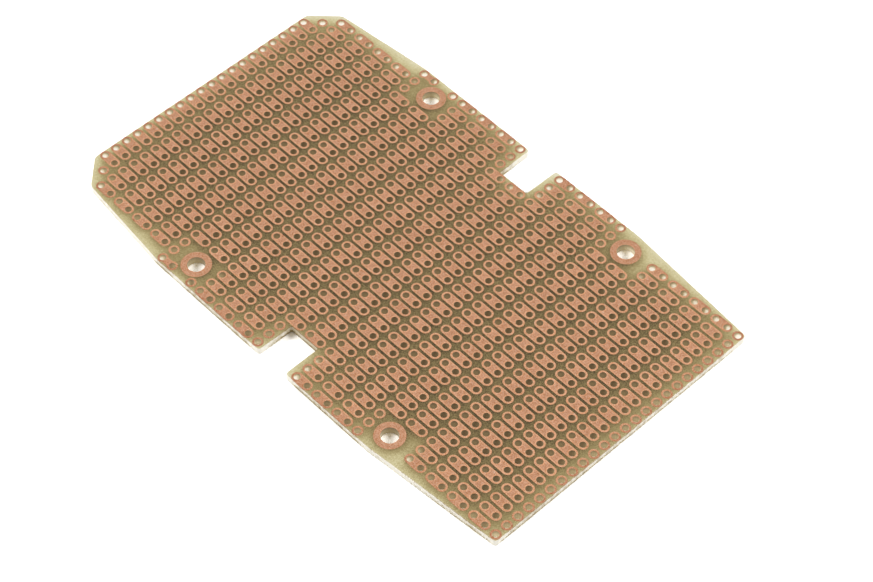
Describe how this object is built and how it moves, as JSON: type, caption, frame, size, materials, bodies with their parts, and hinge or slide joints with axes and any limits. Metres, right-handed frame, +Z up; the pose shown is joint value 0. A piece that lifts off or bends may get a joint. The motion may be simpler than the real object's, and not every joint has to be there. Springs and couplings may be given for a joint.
{
  "type": "prototype board",
  "caption": "Flat glass-epoxy prototype board with a tenth-inch grid of drilled holes, bare copper solder islands, ringed fixing holes, side notches and a chamfered end",
  "frame": {"origin": "middle of the board's outline in plan, on its underside", "axes": "X runs along the board with the chamfered end at -X and the square end at +X, Y runs across it, Z points up out of the copper face"},
  "size_m": [0.1088, 0.0656, 0.0016],
  "materials": {
    "laminate": "satin epoxy with woven glass showing through",
    "copper": "bare etched copper, satin, faintly tarnished"
  },
  "bodies": {
    "root": {"laminate": "laminate", "pad_row_01": "copper", "pad_row_02": "copper", "pad_row_03": "copper", "pad_row_04": "copper", "pad_row_05": "copper", "pad_row_06": "copper", "pad_row_07": "copper", "pad_row_08": "copper", "pad_row_09": "copper", "pad_row_10": "copper", "pad_row_11": "copper", "pad_row_12": "copper", "pad_row_13": "copper", "pad_row_14": "copper", "pad_row_15": "copper", "pad_row_16": "copper", "pad_row_17": "copper", "pad_row_18": "copper", "pad_row_19": "copper", "pad_row_20": "copper", "pad_row_21": "copper", "pad_row_22": "copper", "pad_row_23": "copper", "pad_row_24": "copper", "pad_row_25": "copper", "pad_row_26": "copper", "ring_front_left": "copper", "ring_rear_left": "copper", "ring_front_right": "copper", "ring_rear_right": "copper"}
  },
  "joints": []
}
